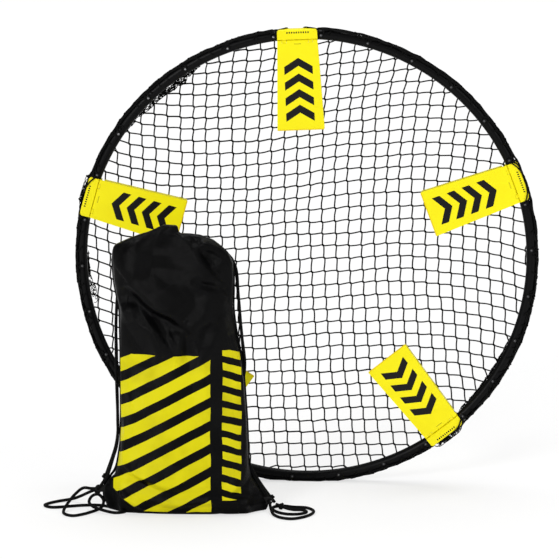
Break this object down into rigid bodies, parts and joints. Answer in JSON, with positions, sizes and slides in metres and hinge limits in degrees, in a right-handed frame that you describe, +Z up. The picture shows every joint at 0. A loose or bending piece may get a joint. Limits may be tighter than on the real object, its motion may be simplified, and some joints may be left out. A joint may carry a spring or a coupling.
{
  "type": "roundnet set",
  "caption": "Round trampoline-style game net on a plug-together rim with folding yellow legs, standing on edge behind its black drawstring bag.",
  "frame": {"origin": "on the ground below the middle of the set's bounding box, cords left out; the ring's middle is at x 0", "axes": "+Z up, -Y towards the front with the legs and the bag, +X to the right; the ring lies in a plane parallel to XZ"},
  "size_m": [0.963, 0.3399, 0.914],
  "materials": {
    "rim_plastic": "satin black moulded plastic",
    "leg_plastic": "bright yellow moulded plastic, satin sheen",
    "pin_steel": "plain steel wire pin",
    "net_twine": "black knotted nylon twine",
    "hook_plastic": "black moulded plastic, polished heads",
    "rivet_alloy": "bright aluminium pop rivet",
    "bag_cloth": "black woven nylon with a soft sheen, printed in yellow",
    "webbing": "black woven webbing with a stitched edge",
    "cord": "black braided polyester cord"
  },
  "bodies": {
    "ring": {"rim_tube_1": "rim_plastic", "rim_tube_2": "rim_plastic", "rim_tube_3": "rim_plastic", "rim_tube_4": "rim_plastic", "rim_tube_5": "rim_plastic", "leg_socket_1": "leg_plastic", "leg_socket_2": "leg_plastic", "leg_socket_3": "leg_plastic", "leg_socket_4": "leg_plastic", "leg_socket_5": "leg_plastic", "hinge_pin_1": "pin_steel", "hinge_pin_2": "pin_steel", "hinge_pin_3": "pin_steel", "hinge_pin_4": "pin_steel", "hinge_pin_5": "pin_steel", "net": "net_twine", "net_hooks": "hook_plastic", "hook_rivets": "rivet_alloy"},
    "leg_1": {"leg_panel_1": "leg_plastic"},
    "leg_2": {"leg_panel_2": "leg_plastic"},
    "leg_3": {"leg_panel_3": "leg_plastic"},
    "leg_4": {"leg_panel_4": "leg_plastic"},
    "leg_5": {"leg_panel_5": "leg_plastic"},
    "bag": {"bag_body": "bag_cloth", "bag_neck": "bag_cloth", "cord_tab_left": "webbing", "cord_tab_right": "webbing", "drawcord_left": "cord", "drawcord_left_short": "cord", "drawcord_right": "cord", "drawcord_right_short": "cord", "cord_knot_left": "cord", "cord_knot_left_short": "cord", "cord_knot_right": "cord", "cord_knot_right_short": "cord"}
  },
  "joints": [
    {"name": "leg_fold_1", "type": "hinge", "parent": "ring", "child": "leg_1", "pos_m": [-0.01813, 0.133, 0.88862], "axis": [-0.9991, 0, -0.0419], "range_deg": [0, 100]},
    {"name": "leg_fold_2", "type": "hinge", "parent": "ring", "child": "leg_2", "pos_m": [-0.41705, 0.133, 0.57244], "axis": [-0.2689, 0, -0.9632], "range_deg": [0, 100]},
    {"name": "leg_fold_3", "type": "hinge", "parent": "ring", "child": "leg_3", "pos_m": [-0.23962, 0.133, 0.09534], "axis": [0.8329, 0, -0.5534], "range_deg": [0, 100]},
    {"name": "leg_fold_4", "type": "hinge", "parent": "ring", "child": "leg_4", "pos_m": [0.26896, 0.133, 0.11666], "axis": [0.7837, 0, 0.6211], "range_deg": [0, 100]},
    {"name": "leg_fold_5", "type": "hinge", "parent": "ring", "child": "leg_5", "pos_m": [0.40584, 0.133, 0.60693], "axis": [-0.3486, 0, 0.9373], "range_deg": [0, 100]},
    {"name": "bag_carry", "type": "slide", "parent": "ring", "child": "bag", "axis": [0, -1, 0], "range_m": [0, 0.4]}
  ]
}
